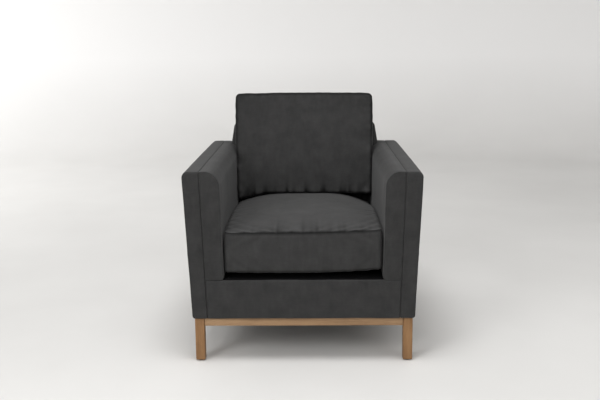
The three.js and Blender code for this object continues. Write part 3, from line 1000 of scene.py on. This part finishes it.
# The sheet that closes the underside, tacked round its edge and sagging a little between
def dustCover():
    low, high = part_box("dust_cover")
    size = high - low
    bm = bmesh.new()
    middle = Vector((0, 0, (low.z + high.z) / 2))
    place = Matrix.Translation(middle) @ Matrix.Diagonal((size.x / 2, size.y / 2, 1, 1))
    across, along = round(size.x / dust["step"]), round(size.y / dust["step"])
    bmesh.ops.create_grid(bm, x_segments=across, y_segments=along, size=1, matrix=place)
    bmesh.ops.recalc_face_normals(bm, faces=bm.faces[:])
    for vert in bm.verts:
        u = min(1, abs(vert.co.x) / (size.x / 2 - dust["held"]))
        v = min(1, abs(vert.co.y) / (size.y / 2 - dust["held"]))
        hang = (1 - u ** 4) * (1 - v ** 4)
        x, y = vert.co.xy * dust["ripples"]
        pull = noise.noise(Vector((x, y, 1)))
        vert.co.z -= dust["sag"] * hang - dust["ripple"] * pull * min(1, 4 * hang)
    if bm.faces[:][0].normal.z > 0:
        bmesh.ops.reverse_faces(bm, faces=bm.faces[:])
    name = "dust_cover_sheet"
    piece = newPiece(name, bm, "chair", ["dust_cover"], "black_cloth")
    thicken(piece, dust["thickness"])


def addPanels():
    frontBorder()
    seatDeck()
    backPad()
    backOutside()
    dustCover()
    print("border, deck, back and underside done")


# Loose cushions

cloth = {
    "quality": 6,
    "mass": 0.3,
    "stretch": 20,
    "shear": 8,
    "frames": 20,
    "tight": 7 * mm,  # the seam draws in the cloth this near to it
    "held": 50 * mm,  # and the soft hold is full this far from it
    "seamHold": 0.35,
}
seatCushion = {
    "name": "seat_cushion",
    "border": 145 * mm,
    "crownUp": 29 * mm,
    "crownDown": 13.5 * mm,
    "fullness": 2.6,
    "corner": 16 * mm,
    "pressure": 2.0,
    "bending": 6.0,
    "gather": 0.018,
    "hold": 0.4,
    "cap": 24 * mm,
    "rearDrop": {-1: 23 * mm, 1: 40 * mm},  # at the left and right corner
    "dropFrom": 0.35,  # share of the half width
    "frontDrop": 4.5 * mm,
    "rightRise": 9 * mm,
    "ear": {"height": 2.5 * mm, "reach": 35 * mm},
    "gathers": {"amount": 7 * mm, "reach": 42 * mm, "pitch": 16 * mm, "shade": 1.7},
    "gatherShares": {"front": 1.0, "top": 0.35, "else": 0.12},
    "swell": 3.5 * mm,
    "dents": [(0.55, -0.2, 3 * mm, 70 * mm), (-0.45, 0.1, 2.5 * mm, 80 * mm)],
    "zipEnd": 1,
    "zipZ": 0,
    "lowest": 298.6 * mm,  # just above the deck
    "rearMost": 268 * mm,
    "armGap": 1.8 * mm,
    "backGap": 1.5 * mm,
    "backReach": 4 * mm,
}
backCushion = {
    "name": "back_cushion",
    "width": 544 * mm,
    "border": 118 * mm,
    "crownUp": 17 * mm,
    "crownDown": 14 * mm,
    "fullness": 2.0,
    "corner": 16 * mm,
    "lean": math.radians(8),
    "foot": Vector((0, 150 * mm, 478 * mm)),
    "pressure": 1.2,
    "bending": 10.0,
    "gather": 0.010,
    "hold": 0.5,
    "cap": 20 * mm,
    "earDrop": {-1: 23 * mm, 1: 4 * mm},
    "earFrom": 0.5,  # share of the half width
    "headDrop": 3.4 * mm,
    "headRight": 1.8 * mm,
    "headWave": 1.5 * mm,
    "headWaves": 8,  # waves a metre
    "widen": 4 * mm,  # on each side above the arms
    "gathers": {"amount": 7 * mm, "reach": 18 * mm, "pitch": 18 * mm, "shade": 2.4},
    "gatherShares": {"foot": 1.3, "front": 0.25, "else": 0.3},
    "swell": 4 * mm,
    "dents": [
        (-1.0, -0.35, 10 * mm, 22 * mm),
        (0.97, 0.05, 4 * mm, 34 * mm),
        (0.2, -0.75, 2 * mm, 50 * mm),
    ],
    "zipEnd": -1,
    "zipZ": -31 * mm,
    "armGap": 3 * mm,
    "backGap": 1.5 * mm,
}
cushionMesh = {"step": 9.5 * mm, "lip": 3.2 * mm}
core = {"inset": 16 * mm, "step": 30 * mm, "lip": 6 * mm}
edgeBand = 30 * mm  # the gathers are fullest this near to the front or foot seam
gathering = {"fine": 2.1, "fineShare": 0.5, "vary": 0.6, "varying": 14, "ridge": 0.12}
sewing = {
    "depth": 3.6 * mm,
    "width": 2.8 * mm,
    "roll": 1.0 * mm,
    "rollAt": 8 * mm,
    "shadow": 4.6 * mm,
}
zipSize = {"length": 470 * mm, "width": 10 * mm, "depth": 3 * mm}
zipRecess = {"halfLength": 243 * mm, "halfWidth": 8 * mm, "depth": 3.6 * mm, "within": 12 * mm}


alongLean = Vector((0, math.sin(backCushion["lean"]), math.cos(backCushion["lean"])))


def sizeCushions():
    low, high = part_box("seat_cushion_cover")
    seatCushion["width"] = high.x - low.x
    seatCushion["length"] = high.y - low.y
    middleZ = high.z - seatCushion["crownUp"] - seatCushion["border"] / 2
    seatCushion["place"] = Matrix.Translation(((low.x + high.x) / 2, (low.y + high.y) / 2, middleZ))
    lean, foot = backCushion["lean"], backCushion["foot"]
    rise = cadHigh.z - foot.z + backCushion["crownUp"] * math.sin(lean)
    backCushion["length"] = rise / math.cos(lean)
    turn = Matrix.Rotation(math.pi / 2 - lean, 4, "X")
    inwards = -(backCushion["crownUp"] + backCushion["border"] / 2)
    shift = turn @ Vector((0, backCushion["length"] / 2, inwards))
    backCushion["place"] = Matrix.Translation(foot + shift) @ turn


# A place in shares of the half width, half length and half border
def shares(place, half):
    return [place[axis] / half[axis] for axis in range(3)]


# A boxed shape centred on its border, both faces crowned
def cushionShell(cushion, inset, step, lip):
    half = Vector((cushion["width"], cushion["length"], cushion["border"])) / 2
    half -= Vector((inset, inset, inset))
    bm = boxOf(-half, half)
    upright = [e for e in bm.edges if abs(e.verts[0].co.z - e.verts[1].co.z) > half.z]
    roundOff(bm, upright, cushion["corner"], 4)
    for axis in range(3):
        cuts(bm, axis, evenly(-half[axis], half[axis], step, lip))
    for vert in bm.verts:
        u, v, t = shares(vert.co, half)
        crown = cushion["crownUp"] if t > 0 else cushion["crownDown"]
        full = cushion["fullness"]
        vert.co.z += t * crown * (1 - abs(u) ** full) * (1 - abs(v) ** full)
    return bm, half


# For each point, the nearest place on the two sewn edges and its distance
def nearestSeam(bm, half):
    def isSewn(vert):
        steep = [abs(face.normal.z) for face in vert.link_faces]
        atEdge = abs(abs(vert.co.z) - half.z) < 0.6 * mm
        return atEdge and min(steep) < 0.3 and max(steep) > 0.7

    seamShadow = [vert.co for vert in bm.verts if isSewn(vert)]
    tree = kdtree.KDTree(len(seamShadow))
    for i, place in enumerate(seamShadow):
        tree.insert(place, i)
    tree.balance()
    found = [tree.find(vert.co) for vert in bm.verts]
    return [(place, distance) for place, i, distance in found]


# The cover is blown up against a soft hold, with its seams drawn tight
def simulate(bm, cushion, seams):
    mesh = bpy.data.meshes.new("trial")
    bm.to_mesh(mesh)
    trial = bpy.data.objects.new("trial", mesh)
    scene.collection.objects.link(trial)
    tight = trial.vertex_groups.new(name="tight")
    hold = trial.vertex_groups.new(name="hold")
    for i, (place, distance) in enumerate(seams):
        tight.add([i], max(0, 1 - distance / cloth["tight"]), "REPLACE")
        away = min(1, distance / cloth["held"])
        share = cloth["seamHold"] + (1 - cloth["seamHold"]) * away
        hold.add([i], cushion["hold"] * share, "REPLACE")
    modifier = trial.modifiers.new("cloth", "CLOTH")
    modifier.point_cache.frame_start = 1
    modifier.point_cache.frame_end = cloth["frames"]
    settings = modifier.settings
    settings.quality = cloth["quality"]
    settings.mass = cloth["mass"]
    settings.tension_stiffness = cloth["stretch"]
    settings.compression_stiffness = cloth["stretch"]
    settings.shear_stiffness = cloth["shear"]
    settings.bending_stiffness = cushion["bending"]
    settings.use_pressure = True
    settings.uniform_pressure_force = cushion["pressure"]
    settings.effector_weights.gravity = 0
    settings.vertex_group_shrink = "tight"
    settings.shrink_min = 0
    settings.shrink_max = cushion["gather"]
    settings.vertex_group_mass = "hold"
    settings.pin_stiffness = 1
    for step in range(1, cloth["frames"] + 1):
        scene.frame_set(step)
    settled = trial.evaluated_get(bpy.context.evaluated_depsgraph_get())
    places = [vert.co.copy() for vert in settled.data.vertices]
    bpy.data.objects.remove(trial)
    scene.frame_set(1)
    for vert, place in zip(bm.verts, places):
        move = place - vert.co
        if move.length > cushion["cap"]:
            move *= cushion["cap"] / move.length
        vert.co += move


# Rows of small gathers square to a seam; the painted shade returned is darkest along the seam line
# and in their folds
def gathers(bm, seams, shape, share, half):
    bm.normal_update()
    moves, shade = [], []
    for vert, (place, distance) in zip(bm.verts, seams):
        spot = Vector((place.x / shape["pitch"], place.y / shape["pitch"], place.z * 3))
        wave = noise.noise(spot)
        wave += gathering["fineShare"] * noise.noise(spot * gathering["fine"])
        vary = gathering["vary"] * noise.noise(place * gathering["varying"])
        reach = shape["reach"] * (1 + vary)  # some folds run further
        near = math.exp(-distance / reach) * share(vert, place, half)
        moves.append(vert.normal * shape["amount"] * wave * near)
        # Painted shade along the seam line, and below it in the folds of the gathers
        seamShadow = math.exp(-((distance / sewing["shadow"]) ** 2))
        shade.append(min(1, seamShadow + shape["shade"] * max(0, gathering["ridge"] - wave) * near))
    shiftAll(bm, moves)
    return shade


# The seam pulls in, and the cloth on both sides of it rolls up slightly
def sewIn(bm, seams):
    bm.normal_update()
    moves = []
    for vert, (place, distance) in zip(bm.verts, seams):
        groove = sewing["depth"] * math.exp(-((distance / sewing["width"]) ** 2))
        away = (distance - sewing["rollAt"]) / sewing["rollAt"]
        roll = sewing["roll"] * math.exp(-(away ** 2))
        moves.append(vert.normal * (roll - groove))
    shiftAll(bm, moves)


# The border swells a little between its corners
def swellBorder(bm, cushion, half):
    bm.normal_update()
    moves = []
    for vert in bm.verts:
        u, v, t = shares(vert.co, half)
        onBorder = max(0, 1 - abs(t) ** 3) if abs(vert.normal.z) < alongFace else 0
        moves.append(vert.normal * cushion["swell"] * onBorder * max(0, 1 - (u * v) ** 4))
    shiftAll(bm, moves)


# Shallow hollows in the face and sides, each at a share of the half width and half length
def dent(bm, cushion, half):
    for u, v, depth, radius in cushion["dents"]:
        middle = Vector((u * half.x, v * half.y, half.z))
        for vert in bm.verts:
            near = math.exp(-(((vert.co - middle).length / radius) ** 2))
            vert.co -= vert.normal * depth * near


def keepBetweenPads(place, gap):
    limit = padInnerAt(place.z) - gap
    place.x = max(-limit, min(limit, place.x))


# Height above the foot of the back cushion, along its lean
def overFoot(place):
    return (place - backCushion["foot"]).dot(alongLean)


def keepSeatClear(place):
    place.z = max(place.z, seatCushion["lowest"])
    keepBetweenPads(place, seatCushion["armGap"])
    place.y = min(place.y, seatCushion["rearMost"])
    above = overFoot(place) + seatCushion["backGap"]
    if above > 0 and place.y > backCushion["foot"].y - seatCushion["backReach"]:
        place.z -= above
    return place


def keepBackClear(place):
    place.y = min(place.y, backFrontAt(place.z) - backCushion["backGap"])
    above = overFoot(place)
    outer = ramp(abs(place.x) / backCushion["width"] * 2, backCushion["earFrom"], 1)
    lowest = -backCushion["earDrop"][-1 if place.x < 0 else 1] * outer
    if above < lowest:
        place -= alongLean * (above - lowest)
    if place.z < armHigh.z:
        keepBetweenPads(place, backCushion["armGap"])
    return place


# The border is recessed where the zip lies
def recessZip(bm, cushion, half):
    end = cushion["zipEnd"]
    for vert in bm.verts:
        onEnd = vert.co.y * end > half.y - zipRecess["within"]
        across = abs(vert.co.z - cushion["zipZ"]) < zipRecess["halfWidth"]
        if onEnd and across and abs(vert.co.x) < zipRecess["halfLength"]:
            vert.co.y = end * (half.y - zipRecess["depth"])


def cushionCover(cushion, gatherShare, settle, keep):
    bm, half = cushionShell(cushion, 0, cushionMesh["step"], cushionMesh["lip"])
    bm.normal_update()
    seams = nearestSeam(bm, half)
    simulate(bm, cushion, seams)
    swellBorder(bm, cushion, half)
    shade = gathers(bm, seams, cushion["gathers"], gatherShare, half)
    dent(bm, cushion, half)
    sewIn(bm, seams)
    recessZip(bm, cushion, half)
    for vert in bm.verts:
        settle(vert, half)
        vert.co = keep(cushion["place"] @ vert.co)
    name = cushion["name"]
    nodes = [name + "_cover"]
    # the cushions' copy of the velvet, with its own painted light on tops and sides
    look = "cushion_velvet"
    # the cover carries the painted shade mask along its seams and gathers
    piece = newPiece(name + "_velvet", bm, name, nodes, look, seam=shade)
    smoothOut(piece)


def cushionCore(cushion, settle):
    bm, half = cushionShell(cushion, core["inset"], core["step"], core["lip"])
    for vert in bm.verts:
        settle(vert, half)
    bmesh.ops.transform(bm, matrix=cushion["place"], verts=bm.verts[:])
    name = cushion["name"]
    piece = newPiece(name + "_foam", bm, name, [name + "_core"], "foam")


zipParts = {
    "toothPitch": 3.2 * mm,
    "tooth": (1.5 * mm, 1.2 * mm, 3.4 * mm),
    "rowOffset": 0.9 * mm,
    "tape": 1.2 * mm,
    "tapeEdge": 0.3 * mm,
    "tapeStep": 30 * mm,
    "sliderEdge": 0.6 * mm,
}


# Tape and two rows of teeth, set in the border
def cushionZip(cushion):
    end, half = cushion["zipEnd"], cushion["length"] / 2
    face = half - zipSize["depth"]
    long, wide = zipSize["length"] / 2, zipSize["width"] / 2
    near, far = sorted((end * face, end * (face + zipParts["tape"])))
    bm = boxOf((-long, near, cushion["zipZ"] - wide), (long, far, cushion["zipZ"] + wide))
    roundOff(bm, sharpEdges(bm), zipParts["tapeEdge"], 1)
    cuts(bm, 0, evenly(-long, long, zipParts["tapeStep"]))
    count = int(2 * long / zipParts["toothPitch"]) - 1
    size = Matrix.Diagonal((*zipParts["tooth"], 1))
    y = end * (face + zipParts["tape"] + zipParts["tooth"][1] / 2)
    for i in range(count):
        x = -long + (i + 1) * zipParts["toothPitch"]
        row = zipParts["rowOffset"] if i % 2 else -zipParts["rowOffset"]
        spot = Matrix.Translation((x, y, cushion["zipZ"] + row))
        bmesh.ops.create_cube(bm, size=1, matrix=spot @ size)
    bmesh.ops.transform(bm, matrix=cushion["place"], verts=bm.verts[:])
    name = cushion["name"]
    newPiece(name + "_zip_chain", bm, name, [name + "_zip"], "zip_tape", False)


def zipSlider(cushion):
    name = cushion["name"] + "_zip_slider"
    body = cushion["name"].replace("cushion", "zip_slider")
    bm = eased(name, zipParts["sliderEdge"])
    newPiece(name + "_metal", bm, body, [name], "steel")


def seatGathers(vert, place, half):
    share = seatCushion["gatherShares"]
    if vert.co.z <= half.z - mm:
        return share["else"]
    return share["front"] if place.y < -half.y + edgeBand else share["top"]


def backGathers(vert, place, half):
    share = backCushion["gatherShares"]
    if vert.co.z <= 0:
        return share["else"]
    return share["foot"] if place.y < -half.y + edgeBand else share["front"]


# The right front corner rises, the top sinks at the rear corners and along the front,
# and its corners stand up a little
def settleSeat(vert, half):
    u, v, t = shares(vert.co, half)
    vert.co.z += seatCushion["rightRise"] * max(0, u) ** 1.5 * (0.5 - 0.5 * v)
    drop = seatCushion["rearDrop"][1 if u > 0 else -1]
    outer = max(0, (abs(u) - seatCushion["dropFrom"]) / (1 - seatCushion["dropFrom"])) ** 2
    upper = ramp(t, 0.15, 1)  # above the zip
    sink = drop * outer * ramp(v, -0.1, 1) + seatCushion["frontDrop"] * ramp(-v, 0.4, 1)
    vert.co.z -= sink * upper
    ear = seatCushion["ear"]
    near = math.exp(-((1 - abs(u)) * half.x / ear["reach"]) ** 2)
    near *= math.exp(-((1 - abs(v)) * half.y / ear["reach"]) ** 2)
    if vert.co.z > 0:
        vert.co.z += ear["height"] * near


# The lower corners hang, the head end sinks unevenly, and above the arms the sides swell out
def settleBack(vert, half):
    u, v, t = shares(vert.co, half)
    drop = backCushion["earDrop"][1 if u > 0 else -1] * ramp(t, -0.3, 0.8)  # clear of the zip
    vert.co.y -= drop * ramp(abs(u), backCushion["earFrom"], 1) * ramp(-v, 0.55, 1)
    wave = noise.noise(Vector((vert.co.x * backCushion["headWaves"], 0, 5)))
    sink = backCushion["headDrop"] + backCushion["headRight"] * max(0, u)
    vert.co.y += (backCushion["headWave"] * wave - sink) * max(0, v)
    vert.co.x += backCushion["widen"] * u * ramp(v, -0.9, 0.1)


def addCushions():
    sizeCushions()
    cushionCover(seatCushion, seatGathers, settleSeat, keepSeatClear)
    cushionCover(backCushion, backGathers, settleBack, keepBackClear)
    cushionCore(seatCushion, settleSeat)
    cushionCore(backCushion, settleBack)
    for cushion in (seatCushion, backCushion):
        cushionZip(cushion)
        zipSlider(cushion)
    print("cushions done")


addLooks()
addCamera()
addLights()
addBackdrop()
addCushions()
addBase()
dressHidden()
addArms()
addPanels()
